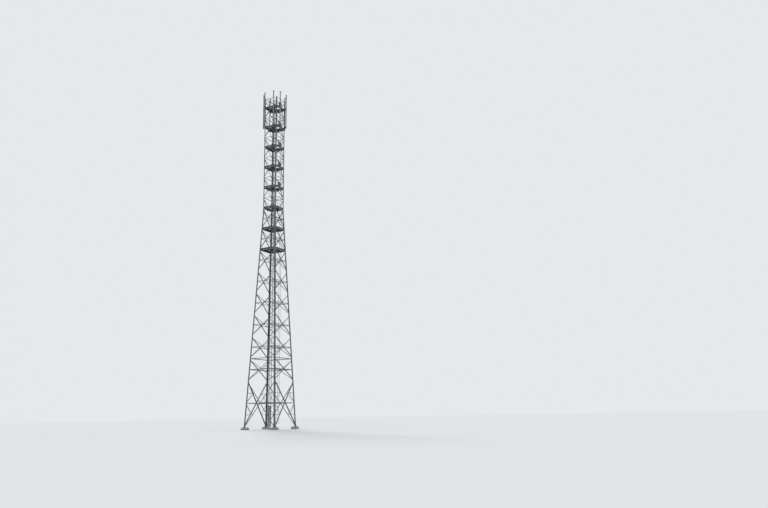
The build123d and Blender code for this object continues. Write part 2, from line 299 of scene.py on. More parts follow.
finishes = {key: zincFinish("zinc" + key.capitalize(), **values) for key, values in zincTones.items()}
finishes["concrete"] = concreteFinish()
finishes["cap"] = capFinish()
nodeFinishes = {  # the first key that is in a node's name gives its finish
    "plinth": "concrete",
    "leg": "legs",
    "bracing": "bracing",
    "platform_frame": "frames",
    "platform_floors": "grating",
    "hatch_lids": "lids",
    "ladder_guard": "sheet",
    "cable_ladder": "rack",
    "ladder": "ladders",
    "top_rail": "ladders",
    "antenna_arms": "frames",
    "antenna_pipes": "pipes",
}
slotted = ("legs", "bracing", "grating", "sheet", "ladders", "pipes")
slots = {key: "galvanised_" + key for key in slotted}
slots.update({"bolts": slots["bracing"], "cap": slots["pipes"]})
for nodeName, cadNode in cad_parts.items():
    finish = next(value for key, value in nodeFinishes.items() if key in nodeName)
    cadNode.data.materials.clear()
    cadNode.data.materials.append(finishes[finish])
print("stage: finishes are on", len(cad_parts), "nodes")


# places on the mast


def level(bay):
    return plinthTop + bay * mast["module"]


def cornerAt(height):  # half the width over the legs
    share = min(1, (height - plinthTop) / (waistZ - plinthTop))
    return mast["footHalf"] + (waistHalf - mast["footHalf"]) * share


def legSeat(height):
    leg = "lowerLeg" if height < waistZ else "upperLeg"
    return bars[leg][1] + mast["seatGap"]


def barEnd(height, width):  # how far a bar reaches from the middle of its side
    return cornerAt(height) - legSeat(height) - width - mast["cornerClearance"]


def bayEnds(bay):
    high = level(bay + 1) - mast["nodeGap"]
    if bay + 1 == mast["waistBay"]:
        high = waistZ - bars["mainBrace"][0]
    return level(bay) + mast["nodeGap"], high


def crossingAt(low, high, width):
    lowReach = barEnd(low, width)
    return low + (high - low) * lowReach / (lowReach + barEnd(high, width))


def tieAt(bay):
    if bay >= mast["waistBay"]:
        return level(bay) + mast["module"] / 2
    return crossingAt(*bayEnds(bay), bars["mainBrace"][0])


def ledgerAt(bay):
    below = bay < mast["waistBay"]
    width = bars["lowerLedger" if below else "ledger"][0]
    bottom = level(bay) + mast["deckRise"] - mast["deckDepth"]
    return bottom - width / 2 + (mast["ledgerLift"] if below else 0)


def quarter(turn):  # from the front side round to another one
    return Matrix.Rotation(math.radians(90 * turn), 3, "Z")


def placed(turn, x, y, z):  # a point that is given for the front side
    return quarter(turn) @ Vector((x, y, z)) + axis


def sidePlace(turn, x, height, out):
    # a point on one side: x to the right, the height, and how far out from the legs' outer face
    slope = lean if height < waistZ else 0
    return placed(turn, x, -cornerAt(height) - out * math.cos(slope), height + out * math.sin(slope))


def sideTurn(turn, height, roll=0):
    # the side's own axes as a matrix: right, up the side, outwards
    slope = lean if height < waistZ else 0
    up = Vector((0, math.sin(slope), math.cos(slope)))
    out = Vector((0, -math.cos(slope), math.sin(slope)))
    axes = Matrix(((1, up.x, out.x), (0, up.y, out.y), (0, up.z, out.z)))
    return quarter(turn) @ axes @ Matrix.Rotation(roll, 3, "Z")


def islandBoxes(node, near=1e-5):
    # the box of each loose part of a node, once points that near are joined
    loose = bmesh.new()
    loose.from_mesh(node.data)
    bmesh.ops.remove_doubles(loose, verts=loose.verts, dist=near)
    seen, boxes = set(), []
    for first in loose.verts:
        if first in seen:
            continue
        group = [first]
        seen.add(first)
        for vert in group:  # grows until the part is whole
            others = {edge.other_vert(vert) for edge in vert.link_edges} - seen
            seen |= others
            group += others
        columns = [[vert.co[part] for vert in group] for part in range(3)]
        boxes.append((Vector(map(min, columns)), Vector(map(max, columns))))
    loose.free()
    return boxes


# plain plates, many in one mesh

# planes of upright plates, by the side to which they get thicker
toLeft = Matrix(((0, 0, -1), (-1, 0, 0), (0, 1, 0)))
toBack = Matrix(((-1, 0, 0), (0, 0, 1), (0, 1, 0)))


def newObject(name, data):
    made = bpy.data.objects.new(name, data)
    bpy.context.scene.collection.objects.link(made)
    return made


def finishPiece(name, source, finish):
    if isinstance(source, bmesh.types.BMesh):
        mesh = bpy.data.meshes.new(name)
        source.to_mesh(mesh)
        source.free()
    else:
        mesh = source
    piece = newObject(name, mesh)
    mesh.materials.clear()
    mesh.materials.append(finishes[finish])
    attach(piece, "root")
    return piece


class PlateWork:
    def __init__(self, name, finish):
        self.name = name
        self.finish = finish
        self.mesh = bmesh.new()

    def slab(self, outline, thick, place, turn):
        # an outline in the turned plane, raised by thick along the plane's normal
        rings = []
        for lift in (0, thick):
            rings.append([self.mesh.verts.new(place + turn @ Vector((x, y, lift))) for x, y in outline])
        low, high = rings
        self.mesh.faces.new(list(reversed(low)))
        self.mesh.faces.new(high)
        for index in range(len(outline)):
            after = (index + 1) % len(outline)
            self.mesh.faces.new((low[index], low[after], high[after], high[index]))

    def plate(self, width, height, thick, place, turn):
        half, rise = width / 2, height / 2
        self.slab([(-half, -rise), (half, -rise), (half, rise), (-half, rise)], thick, place, turn)

    def block(self, *corners):
        # an upright plate or strip between two opposite corners
        low, high = map(Vector, corners)
        outline = [(low.x, low.y), (high.x, low.y), (high.x, high.y), (low.x, high.y)]
        self.slab(outline, high.z - low.z, Vector((0, 0, low.z)), Matrix.Identity(3))

    def done(self):
        bmesh.ops.recalc_face_normals(self.mesh, faces=self.mesh.faces)
        return finishPiece(self.name, self.mesh, self.finish)


# Geometry Nodes trees


def newTree(name, values):
    # a tree with a named input for each of the values
    tree = bpy.data.node_groups.new(name, "GeometryNodeTree")
    kinds = {float: "NodeSocketFloat", int: "NodeSocketInt", bpy.types.Material: "NodeSocketMaterial"}
    tree.interface.new_socket(name="Geometry", in_out="INPUT", socket_type="NodeSocketGeometry")
    for key, value in values.items():
        tree.interface.new_socket(name=key, in_out="INPUT", socket_type=kinds[type(value)])
    tree.interface.new_socket(name="Geometry", in_out="OUTPUT", socket_type="NodeSocketGeometry")
    board = Board(tree)
    source = board.node("NodeGroupInput")
    return board, {key: source.out(key) for key in ["Geometry", *values]}


def closeTree(board, geometry, material):
    whole = board.node("GeometryNodeRealizeInstances", {}, {0: geometry})
    whole = board.node("GeometryNodeSetMaterial", {}, {"Geometry": whole, "Material": material})
    board.node("NodeGroupOutput", {}, {"Geometry": whole})
    return board.tree


def runTree(tree, mesh, values):
    # the tree's result on a mesh, as a plain mesh
    carrier = newObject("carrier", mesh)
    modifier = carrier.modifiers.new("nodes", "NODES")
    modifier.node_group = tree
    for item in tree.interface.items_tree:
        if item.in_out == "INPUT" and item.name in values:
            modifier[item.identifier] = values[item.name]
    bpy.context.view_layer.update()
    ready = carrier.evaluated_get(bpy.context.evaluated_depsgraph_get())
    result = bpy.data.meshes.new_from_object(ready)
    carrier.modifiers.remove(modifier)
    bpy.data.objects.remove(carrier)
    return result


def vector(board, x=0.0, y=0.0, z=0.0):
    return board.node("ShaderNodeCombineXYZ", {}, {0: x, 1: y, 2: z})


def moved(board, geometry, way):
    return board.node("GeometryNodeTransform", {}, {"Geometry": geometry, "Translation": way})


def instances(board, points, shape, **more):
    values = {"Points": points, "Instance": shape, **more}
    return board.node("GeometryNodeInstanceOnPoints", {}, values)


def pointMesh(name, points):
    # one vertex for each point, with the way it faces and its size
    mesh = bpy.data.meshes.new(name)
    mesh.from_pydata([place for place, facing, size in points], [], [])
    facings = [part for place, facing, size in points for part in facing]
    mesh.attributes.new("facing", "FLOAT_VECTOR", "POINT").data.foreach_set("vector", facings)
    sizes = [size for place, facing, size in points]
    mesh.attributes.new("size", "FLOAT", "POINT").data.foreach_set("value", sizes)
    return mesh


def attribute(board, name, kind):
    return board.node("GeometryNodeInputNamedAttribute", {"data_type": kind}, {"Name": name})


def pointFacing(board, axes):  # the turn that brings an axis to each point's facing
    facing = attribute(board, "facing", "FLOAT_VECTOR")
    return board.node("FunctionNodeAlignRotationToVector", axes, {"Vector": facing})


# bolts: lists of points while the plates are made, and a tree over them at the end

boltInputs = {
    "Across": 0.024,  # over the flats of the hexagon
    "Head": 0.010,
    "Washer": 0.030,
    "Washer thickness": 0.003,
    "Washer sides": 10,
    "Shank": 0.016,
    "Shank end": 0.010,
    "Shank sides": 8,
    "Spin": 1.05,  # most that a bolt is turned about itself
    "Seed": 7,
    "Material": finishes["bolts"],
}
boltScales = {"full": 1.0, "medium": 0.9, "small": 0.8}
barBolts = {
    "brace": (0.014, 0.062),  # along a bar from its end
    "strongTie": (0.012, 0.046),
    "lowerLedger": (0.012, 0.046),
    "ledger": (0.01,),
    "lightTie": (0.014,),
    "bodyBrace": (0.014, 0.05),
}
heads = []  # place, facing and size of each bolt head
nuts = []


def disc(board, sides, radius, depth, lift):
    # a closed prism that stands on the plane z = lift
    values = {"Vertices": sides, "Radius": radius, "Depth": depth}
    made = board.node("GeometryNodeMeshCylinder", {}, values)
    return moved(board, made, vector(board, z=lift + depth / 2))


def boltTree(name, withShank):
    board, wires = newTree(name, boltInputs)
    thick = wires["Washer thickness"]
    parts = [
        disc(board, wires["Washer sides"], wires["Washer"] / 2, thick, 0.0),
        disc(board, 6, wires["Across"] / math.sqrt(3), wires["Head"], thick),
    ]
    if withShank:
        end = thick + wires["Head"]
        parts.append(disc(board, wires["Shank sides"], wires["Shank"] / 2, wires["Shank end"], end))
    whole = board.node("GeometryNodeJoinGeometry", {}, {0: parts})
    size = attribute(board, "size", "FLOAT")
    limits = {2: 0.0, 3: wires["Spin"], "Seed": wires["Seed"]}
    spin = board.node("FunctionNodeRandomValue", {"data_type": "FLOAT"}, limits, 1)
    own = board.node("FunctionNodeAxisAngleToRotation", {}, {"Axis": (0, 0, 1), "Angle": spin})
    turns = {"Rotation": pointFacing(board, {"axis": "Z"}), "Rotate By": own}
    turn = board.node("FunctionNodeRotateRotation", {"rotation_space": "LOCAL"}, turns)
    bolts = instances(board, wires["Geometry"], whole, Rotation=turn, Scale=size)
    return closeTree(board, bolts, wires["Material"])


def addBolt(turn, x, height, headOut, nutOut, size="full"):
    facing = sideTurn(turn, height).col[2]
    heads.append((sidePlace(turn, x, height, headOut), facing, boltScales[size]))
    nuts.append((sidePlace(turn, x, height, nutOut), -facing, boltScales[size]))


def runOf(start, end):
    return Vector((end[0] - start[0], end[1] - start[1])).normalized()


def boltLine(turn, start, end, distances, headOut, nutOut, size="full"):
    # bolts on a bar's middle line, at distances from its start
    run = runOf(start, end)
    for distance in distances:
        addBolt(turn, start[0] + run.x * distance, start[1] + run.y * distance, headOut, nutOut, size)


def braceBolts(turn, low, high, section):
    width, thick = section
    seat = legSeat(low)
    for side in (-1, 1):
        lowEnd = (-side * barEnd(low, width), low)
        highEnd = (side * barEnd(high, width), high)
        inner = side == 1
        headOut = 0 if inner else mast["seatGap"] + thick
        nutOut = -seat - thick if inner else mast["seatGap"] - seat
        for start, end in ((lowEnd, highEnd), (highEnd, lowEnd)):
            boltLine(turn, start, end, barBolts["brace"], headOut, nutOut)
    addBolt(turn, 0, crossingAt(low, high, width), mast["seatGap"] + thick, -seat - thick)


def tieBolts(turn, height, bar, size="full"):
    width, thick = bars[bar]
    reach, nutOut = barEnd(height, width), -legSeat(height) - thick
    for side in (-1, 1):
        boltLine(turn, (side * reach, height), (0, height), barBolts[bar], 0, nutOut, size)


plates = {
    "cleats": PlateWork("tie_cleats", "bracing"),
    "splices": PlateWork("leg_splices", "legs"),
    "gussets": PlateWork("brace_gussets", "bracing"),
    "flanges": PlateWork("brace_flanges", "bracing"),
    "ribs": PlateWork("foot_ribs", "legs"),
    "waist": PlateWork("waist_plates", "legs"),
}
cleats = {
    "length": 0.17,
    "width": 0.05,
    "thick": 0.006,
    "bolts": (-0.06, -0.022, 0.022, 0.06),
}


def flatEnd(turn, side, height):
    # a cleat behind a flat's end and the leg's flange, with its bolts
    edge = side * (cornerAt(height) - bars["lowerLeg"][0])
    out = -legSeat(height) - cleats["thick"]
    place, facing = sidePlace(turn, edge, height, out), sideTurn(turn, height)
    plates["cleats"].plate(cleats["length"], cleats["width"], cleats["thick"], place, facing)
    for along in cleats["bolts"]:
        addBolt(turn, edge + along, height, mast["seatGap"], out, "small")


lowerSplices = {
    "bays": (3, 5, 7),
    "rise": 0.7,  # middle of a splice above its bay line
    "inset": 0.004,  # further in than the middle of the leg's flange
    "length": 0.5,
    "width": 0.125,
    "thick": 0.010,
    "rows": (-0.2, -0.12, -0.04, 0.04, 0.12, 0.2),
    "columns": (-0.032, 0.032),
}
upperSplices = {
    "bays": (12,),
    "rise": 0.55,
    "inset": 0.004,
    "length": 0.4,
    "width": 0.09,
    "thick": 0.008,
    "rows": (-0.15, -0.05, 0.05, 0.15),
    "columns": (-0.022, 0.022),
}


def legSplices(turn, side, sizes, leg):
    gap, thick = mast["seatGap"], sizes["thick"]
    for bay in sizes["bays"]:
        height = level(bay) + sizes["rise"]
        edge = side * (cornerAt(height) - bars[leg][0] / 2 - sizes["inset"])
        roll = side * lean if height < waistZ else 0
        place, facing = sidePlace(turn, edge, height, gap), sideTurn(turn, height, roll)
        plates["splices"].plate(sizes["width"], sizes["length"], thick, place, facing)
        for row in sizes["rows"]:
            for column in sizes["columns"]:
                x = edge + column - math.sin(roll) * row
                addBolt(turn, x, height + row, thick + gap, gap - legSeat(height))


feet = {
    "inset": 0.095,  # from the leg's corner to the middle of its foot
    "plateThick": 0.025,
    "anchor": 0.155,  # from the middle of the foot to an anchor bolt
    "anchorSize": 2.1,
    "ribs": (0.045, 0.115),  # along the leg's face from its corner
    "ribHeight": 0.15,
    "ribLength": 0.085,
    "ribThick": 0.012,
    "ribEdge": 0.03,  # height of a rib's outer end
    "ribTop": 0.02,  # length of its upper end
    "ribSink": 0.001,  # into the leg
}


def lowerSideWork(turn):
    baseWidth, baseThick = bars["baseBrace"]
    baseLow = plinthTop + feet["plateThick"] + baseWidth
    baseHigh = level(mast["firstNode"]) - mast["nodeGap"]
    baseTie = crossingAt(baseLow, baseHigh, baseWidth)
    braceBolts(turn, baseLow, baseHigh, bars["baseBrace"])
    for height in (baseTie, level(mast["firstNode"] + 1), tieAt(mast["firstNode"])):
        tieBolts(turn, height, "strongTie")
    for bay in range(mast["firstNode"], mast["waistBay"]):
        braceBolts(turn, *bayEnds(bay), bars["mainBrace"])
        if bay > mast["firstNode"]:
            for side in (-1, 1):
                flatEnd(turn, side, tieAt(bay))
        if bay >= mast["platformFirst"]:
            tieBolts(turn, ledgerAt(bay), "lowerLedger")
    for side in (-1, 1):
        for height in (baseLow, baseHigh):
            half = (height + baseTie) / 2
            flatEnd(turn, side, half)
            along = side * barEnd(height, baseWidth) / 2
            headOut, nutOut = baseThick + mast["seatGap"], -legSeat(half) - baseThick
            addBolt(turn, along, half, headOut, nutOut, "medium")
        legSplices(turn, side, lowerSplices, "lowerLeg")


gussets = {
    "half": 0.15,
    "rise": 0.14,
    "tip": 0.05,
    "thick": 0.008,
    "bolts": (0.075, 0.125),
}
flanges = {
    "thick": 0.005,
    "depth": 0.042,
}


def bodyGusset(turn, height):
    # the plate on which a ledger and the four braces at its middle meet
    half, rise, tip = gussets["half"], gussets["rise"], gussets["tip"]
    outline = [(-half, -tip), (-tip, -rise), (tip, -rise), (half, -tip)]
    outline += [(-x, -y) for x, y in outline]
    seat = legSeat(height)
    back = mast["seatGap"] - seat
    place = sidePlace(turn, 0, height, back)
    plates["gussets"].slab(outline, gussets["thick"], place, sideTurn(turn, height))
    for side in (-1, 1):
        along = side * gussets["bolts"][1]
        addBolt(turn, along, height, back + gussets["thick"], -seat - bars["ledger"][1], "small")


def braceFlange(turn, root, end):
    # the leg of a brace's angle that stands inwards from its flat
    width, thick = bars["bodyBrace"]
    run = runOf(root, end)
    across = Vector((-run.y, run.x))
    if (across.y > 0) != (end[1] > root[1]):
        across = -across
    outer, inner = across * width / 2, across * (width / 2 - flanges["thick"])
    spots = [Vector(root) + outer, Vector(end) + outer, Vector(end) + inner, Vector(root) + inner]
    outline = [(spot.x, spot.y - root[1]) for spot in spots]
    place = sidePlace(turn, 0, root[1], -legSeat(root[1]) - thick - flanges["depth"])
    plates["flanges"].slab(outline, flanges["depth"], place, sideTurn(turn, root[1]))


def bodySideWork(turn):
    width, thick = bars["bodyBrace"]
    for bay in range(mast["waistBay"], mast["topBay"] + 1):
        tieBolts(turn, ledgerAt(bay), "ledger", "medium")
        bodyGusset(turn, ledgerAt(bay))
    for bay in range(mast["waistBay"], mast["topBay"]):
        middle = tieAt(bay)
        tieBolts(turn, middle, "lightTie", "small")
        reach, seat = barEnd(middle, width), legSeat(middle)
        gussetOut = mast["seatGap"] - seat + gussets["thick"]
        for side in (-1, 1):
            for root, way in ((ledgerAt(bay), -1), (ledgerAt(bay + 1), 1)):
                rootEnd, legEnd = (0, root), (side * reach, middle + way * mast["nodeGap"])
                braceFlange(turn, rootEnd, legEnd)
                boltLine(turn, legEnd, rootEnd, barBolts["bodyBrace"], 0, -seat - thick, "small")
                boltLine(turn, rootEnd, legEnd, gussets["bolts"], gussetOut, -seat - thick, "small")
    for side in (-1, 1):
        legSplices(turn, side, upperSplices, "upperLeg")


def footWork(turn):
    # ribs on both faces of a leg's foot, and four anchor bolts
    top = plinthTop + feet["plateThick"]
    middle, reach = mast["footHalf"] - feet["inset"], mast["footHalf"] - feet["ribSink"]
    for side in (-1, 1):
        for along in (-1, 1):
            x, y = -middle + side * feet["anchor"], -middle + along * feet["anchor"]
            nuts.append((placed(turn, x, y, top), (0, 0, 1), feet["anchorSize"]))
    long, high, thick = feet["ribLength"], feet["ribHeight"], feet["ribThick"]
    rib = [(0, 0), (long, 0), (long, feet["ribEdge"]), (feet["ribTop"], high), (0, high)]
    ribs, around = plates["ribs"], quarter(turn)
    for across in feet["ribs"]:
        along = -mast["footHalf"] + across
        ribs.slab(rib, thick, placed(turn, along + thick, -reach, top), around @ toLeft)
        ribs.slab(rib, thick, placed(turn, -reach, along, top), around @ toBack)


waistPlates = {
    "half": 0.12,
    "thick": 0.016,
    "inset": 0.062,  # from the leg's corner to the middle of its plate
    "lift": 0.0005,  # of the upper plate over the lower one
    "bolt": 0.088,  # from the middle of the plate
    "size": 0.9,
}


def waistWork(turn):
    # the flange plates between the tapering and the upright legs
    middle, thick, lift = waistHalf - waistPlates["inset"], waistPlates["thick"], waistPlates["lift"]
    wide = 2 * waistPlates["half"]
    for low in (-thick, lift):
        place = placed(turn, -middle, -middle, waistZ + low)
        plates["waist"].plate(wide, wide, thick, place, quarter(turn))
    for side, along in ((-1, -1), (-1, 1), (1, -1)):
        x, y = -middle + side * waistPlates["bolt"], -middle + along * waistPlates["bolt"]
        for rise, facing, points in ((thick + lift, 1, heads), (-thick, -1, nuts)):
            place = placed(turn, x, y, waistZ + rise)
            points.append((place, (0, 0, facing), waistPlates["size"]))


for turn in range(4):
    lowerSideWork(turn)
    bodySideWork(turn)
for turn in range(4):
    footWork(turn)
    waistWork(turn)
for work in plates.values():
    work.done()
print("stage: plates are made")

gratingInputs = {
    "Pitch": 0.0343,
    "Depth": 0.03,
    "Thickness": 0.003,
    "Cross pitch": 0.076,
    "Cross": 0.006,
    "Material": finishes["grating"],
}
gratingClips = {
    "inset": 0.055,  # from the edges of a panel
    "half": (0.032, 0.016),
    "thick": 0.003,
    "bolt": 0.5,
}


def barRow(board, count, span, along, size):
    # bars of one size in a row across a panel, centred on it
    ends = {
        "Count": count,
        "Start Location": vector(board, **{along: span * -0.5}),
        "Offset": vector(board, **{along: span / (count - 1)}),
    }
    line = board.node("GeometryNodeMeshLine", {}, ends)
    bar = board.node("GeometryNodeMeshCube", {}, {"Size": size})
    return instances(board, line, bar)


def barCount(board, span, pitch):  # how many bars a span takes
    return board.node("ShaderNodeMath", {"operation": "CEIL"}, {0: span / pitch}) + 1


def gratingTree():
    board, wires = newTree("grating_tree", {"Width": 1.0, "Length": 1.0, **gratingInputs})
    width, length, thin = wires["Width"], wires["Length"], wires["Thickness"]
    deep, cross = wires["Depth"], wires["Cross"]
    wide, long = width - thin, length - thin
    count = barCount(board, wide, wires["Pitch"])
    bearing = barRow(board, count, wide, "x", vector(board, thin, length, deep))
    ends = barRow(board, 2, long, "y", vector(board, width, thin, deep))
    count = barCount(board, long, wires["Cross pitch"])
    rods = barRow(board, count, long, "y", vector(board, width, cross, cross))
    rods = moved(board, rods, vector(board, z=deep / 2 - cross / 2))
    whole = board.node("GeometryNodeJoinGeometry", {}, {0: [bearing, ends, rods]})
    return closeTree(board, whole, wires["Material"])


def clipPanel(work, low, high):
    # a saddle clip with its bolt near each corner of a panel
    half, inset = Vector(gratingClips["half"]), gratingClips["inset"]
    top = high.z + gratingClips["thick"]
    for x in (low.x + inset, high.x - inset):
        for y in (low.y + inset, high.y - inset):
            work.block((x - half.x, y - half.y, high.z), (x + half.x, y + half.y, top))
            heads.append(((x, y, top), (0, 0, 1), gratingClips["bolt"]))


def gratingFloors():
    tree = gratingTree()
    whole = bmesh.new()
    clipWork = PlateWork("grating_clips", "grating")
    for low, high in islandBoxes(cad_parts["platform_floors"]):
        clipPanel(clipWork, low, high)
        size = high - low
        values = {"Width": size.x, "Length": size.y, **gratingInputs}
        panel = runTree(tree, bpy.data.meshes.new("panel"), values)
        panel.transform(Matrix.Translation((low + high) / 2))
        whole.from_mesh(panel)
        bpy.data.meshes.remove(panel)
    piece = finishPiece("grating_floors", whole, "grating")
    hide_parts("platform_floors")
    clipWork.done()
    return len(piece.data.polygons)


print("stage: gratings are made,", gratingFloors(), "faces")

saddles = {
    "reach": 1.2,  # from the mast's axis to a pipe
    "spread": 0.63,  # from the middle of a side to a pipe
    "offset": 0.062,  # of the two clamps above and below the saddle's middle
    "back": 0.1165,  # of the saddle, behind the pipe's middle
    "nut": 0.75,
}
clampInputs = {
    "Radius": 0.06315,  # the pipe's radius and the rod's together
    "Rod": 0.012,
    "Rod sides": 8,
    "Bend points": 17,
    "Leg": 0.145,  # length of a clamp's legs behind the pipe's middle
    "Material": finishes["bolts"],
}


def clampTree():
    # a U-bolt round a pipe: a half ring with two straight legs
    board, wires = newTree("clamp_tree", clampInputs)
    radius, count = wires["Radius"], wires["Bend points"]
    bend = {"Resolution": count, "Radius": radius, "Start Angle": 0.0, "Sweep Angle": math.pi}
    parts = [board.node("GeometryNodeCurveArc", {}, bend)]
    for side in (-1.0, 1.0):
        x = radius * side
        ends = {"Start": vector(board, x), "End": vector(board, x, wires["Leg"] * -1.0)}
        parts.append(board.node("GeometryNodeCurvePrimitiveLine", {}, ends))
    path = board.node("GeometryNodeJoinGeometry", {}, {0: parts})
    outline = {"Resolution": wires["Rod sides"], "Radius": wires["Rod"] / 2}
    ring = board.node("GeometryNodeCurvePrimitiveCircle", {}, outline)
    sweep = {"Curve": path, "Profile Curve": ring, "Fill Caps": True}
    rod = board.node("GeometryNodeCurveToMesh", {}, sweep)
    turn = pointFacing(board, {"axis": "Y", "pivot_axis": "Z"})
    clamps = instances(board, wires["Geometry"], rod, Rotation=turn)
    return closeTree(board, clamps, wires["Material"])


def pipeClamps():
    clampPoints, clampNuts = [], []
    for armNode in ("antenna_arms_lower", "antenna_arms_upper"):
        low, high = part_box(armNode)
        middle = (low.z + high.z) / 2
        for turn in range(4):
            facing = quarter(turn) @ Vector((0, -1, 0))
            for side in (-1, 1):
                for lift in (-saddles["offset"], saddles["offset"]):
                    x, y, z = side * saddles["spread"], -saddles["reach"], middle + lift
                    clampPoints.append((placed(turn, x, y, z), facing, 1.0))
                    for leg in (-clampInputs["Radius"], clampInputs["Radius"]):
                        nutPlace = placed(turn, x + leg, y + saddles["back"], z)
                        clampNuts.append((nutPlace, -facing, saddles["nut"]))
    clamps = runTree(clampTree(), pointMesh("clamps", clampPoints), clampInputs)
    finishPiece("pipe_clamps", clamps, "bolts")
    nutTree = boltTree("clamp_nut_tree", False)
    finishPiece("clamp_nuts", runTree(nutTree, pointMesh("clampNuts", clampNuts), boltInputs), "bolts")


pipeClamps()
print("stage: pipe clamps are made")

pipes = {
    "sides": 24,
    "radius": 0.05715,
    "edge": 0.004,  # bevel at a pipe's lower end
    "weld": 2.1,  # height of the weld above a pipe's lower end
    "weldHeight": 0.014,
    "weldRise": 0.0035,
    "weldEdge": 0.003,
    "cap": 0.11,  # height of a cap
    "capRadius": 0.078,
    "lip": 0.012,
    "lipEdge": 0.004,
    "step": 0.006,  # a cap's side is that much slimmer than its lip
    "dome": 0.02,
    "domeTop": ((0.8, 0.002), (0.3, 0.0005)),  # share of the pipe's radius, and depth under the top
    "overlap": 0.001,  # of a tube's end and its cap
}


def circle(radius, sides, height=0):
    angles = [2 * math.pi * index / sides for index in range(sides)]
    return [Vector((radius * math.cos(angle), radius * math.sin(angle), height)) for angle in angles]


def turned(mesh, profile, place):
    # a closed turned shape from its radii and heights, from the bottom to the top
    rings = []
    for radius, height in profile:
        rings.append([mesh.verts.new(place + spot) for spot in circle(radius, pipes["sides"], height)])
    closeRings(mesh, rings)


def closeRings(mesh, rings):
    count = len(rings[0])
    for below, above in zip(rings, rings[1:]):
        for index in range(count):
            after = (index + 1) % count
            mesh.faces.new((below[index], below[after], above[after], above[index])).smooth = True
    mesh.faces.new(list(reversed(rings[0])))
    mesh.faces.new(rings[-1])


def antennaPipes():
    low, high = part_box("antenna_pipes_front")
    tubes, caps = bmesh.new(), bmesh.new()
    end, top = low.z, high.z
    foot = top - pipes["cap"]
    lip = foot + pipes["lip"]
    wide, slim = pipes["capRadius"], pipes["radius"]
    side = wide - pipes["step"]
    capProfile = [
        (slim, foot),
        (wide, foot),
        (wide, lip),
        (side, lip + pipes["lipEdge"]),
        (side, top - pipes["dome"]),
        (side - pipes["step"], top - pipes["dome"] / 2),
    ]
    capProfile += [(slim * share, top - depth) for share, depth in pipes["domeTop"]]
    weld, bead = end + pipes["weld"], slim + pipes["weldRise"]
    tubeProfile = [
        (slim - pipes["edge"], end),
        (slim, end + pipes["edge"]),
        (slim, weld),
        (bead, weld + pipes["weldEdge"]),
        (bead, weld + pipes["weldHeight"] - pipes["weldEdge"]),
        (slim, weld + pipes["weldHeight"]),
        (slim, foot + pipes["overlap"]),
    ]
    for turn in range(4):
        for way in (-1, 1):
            spot = placed(turn, way * saddles["spread"], -saddles["reach"], 0)
            turned(tubes, tubeProfile, spot)
            turned(caps, capProfile, spot)
    piece = finishPiece("antenna_tubes", tubes, "pipes")
    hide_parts(*["antenna_pipes_" + side for side in ("front", "right", "back", "left")])
    finishPiece("pipe_caps", caps, "cap")


antennaPipes()
print("stage: antenna pipes are made")

lids = {
    "hinge": (0.07, 0.045, 0.005),  # width, height and thickness of a hinge leaf
    "hingePlace": 0.19,
    "hingeRise": 0.035,
    "pin": 0.009,
    "handle": (0.13, 0.035, 0.006),  # length, reach and half thickness
    "handleDrop": 0.12,
    "handleBends": (0.8, 0.1),  # share of the reach before a bend, and of the length in it
}


def rodAlong(mesh, points, radius, sides=8):
    # a bent round bar through some points
    rings = []
    for index, point in enumerate(points):
        before = points[max(index - 1, 0)]
        after = points[min(index + 1, len(points) - 1)]
        turn = (after - before).to_track_quat("Z", "Y")
        rings.append([mesh.verts.new(point + turn @ spot) for spot in circle(radius, sides)])
    closeRings(mesh, rings)


def lidWork():
    # hinges at the foot of each open lid, and a handle near its top
    work = PlateWork("lid_fittings", "ladders")
    width, height, thick = lids["hinge"]
    length, reach, thickness = lids["handle"]
    before, share = lids["handleBends"]
    for low, high in islandBoxes(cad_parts["hatch_lids"]):
        middle = (low.y + high.y) / 2
        for side in (-1, 1):
            spot = Vector((low.x, middle + side * lids["hingePlace"], low.z + lids["hingeRise"]))
            work.plate(width, height, thick, spot, toLeft)
            pin = Vector((low.x - thick, spot.y, spot.z - height / 2))
            along = Vector((0, width / 2, 0))
            rodAlong(work.mesh, [pin - along, pin + along], lids["pin"])
        top = Vector((low.x, middle, high.z - lids["handleDrop"]))
        out = Vector((-reach, 0, 0))
        first, last = (top + Vector((0, side * length / 2, 0)) for side in (-1, 1))
        bends = [first.lerp(last, share) + out, last.lerp(first, share) + out]
        rodAlong(work.mesh, [first, first + out * before, *bends, last + out * before, last], thickness)
    work.done()


guard = {
    "clip": (0.07, 0.04, 0.004),  # width, height and thickness
    "clipPlace": 0.205,
    "clipShares": (0.12, 0.5, 0.88),  # of the sheet's height
    "bolt": 0.7,
    "rib": (0.03, 0.005),  # width and thickness
    "ribPlace": 0.1,
    "ribEnds": 0.3,  # that much shorter than the sheet
}


def guardWork():
    # two pressed ribs on the sheet before the ladder's foot, and its fixing clips
    low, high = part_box("ladder_guard")
    work = PlateWork("guard_fittings", "sheet")
    middle = (low.y + high.y) / 2
    for share in guard["clipShares"]:
        for side in (-1, 1):
            height = low.z + (high.z - low.z) * share
            spot = Vector((low.x, middle + side * guard["clipPlace"], height))
            work.plate(*guard["clip"], spot, toLeft)
            heads.append((spot - Vector((guard["clip"][2], 0, 0)), (-1, 0, 0), guard["bolt"]))
    width, thick = guard["rib"]
    for side in (-1, 1):
        spot = Vector((low.x, middle + side * guard["ribPlace"], (low.z + high.z) / 2))
        work.plate(width, high.z - low.z - guard["ribEnds"], thick, spot, toLeft)
    work.done()


lidWork()
guardWork()
print("stage: lids and guard have their fittings")

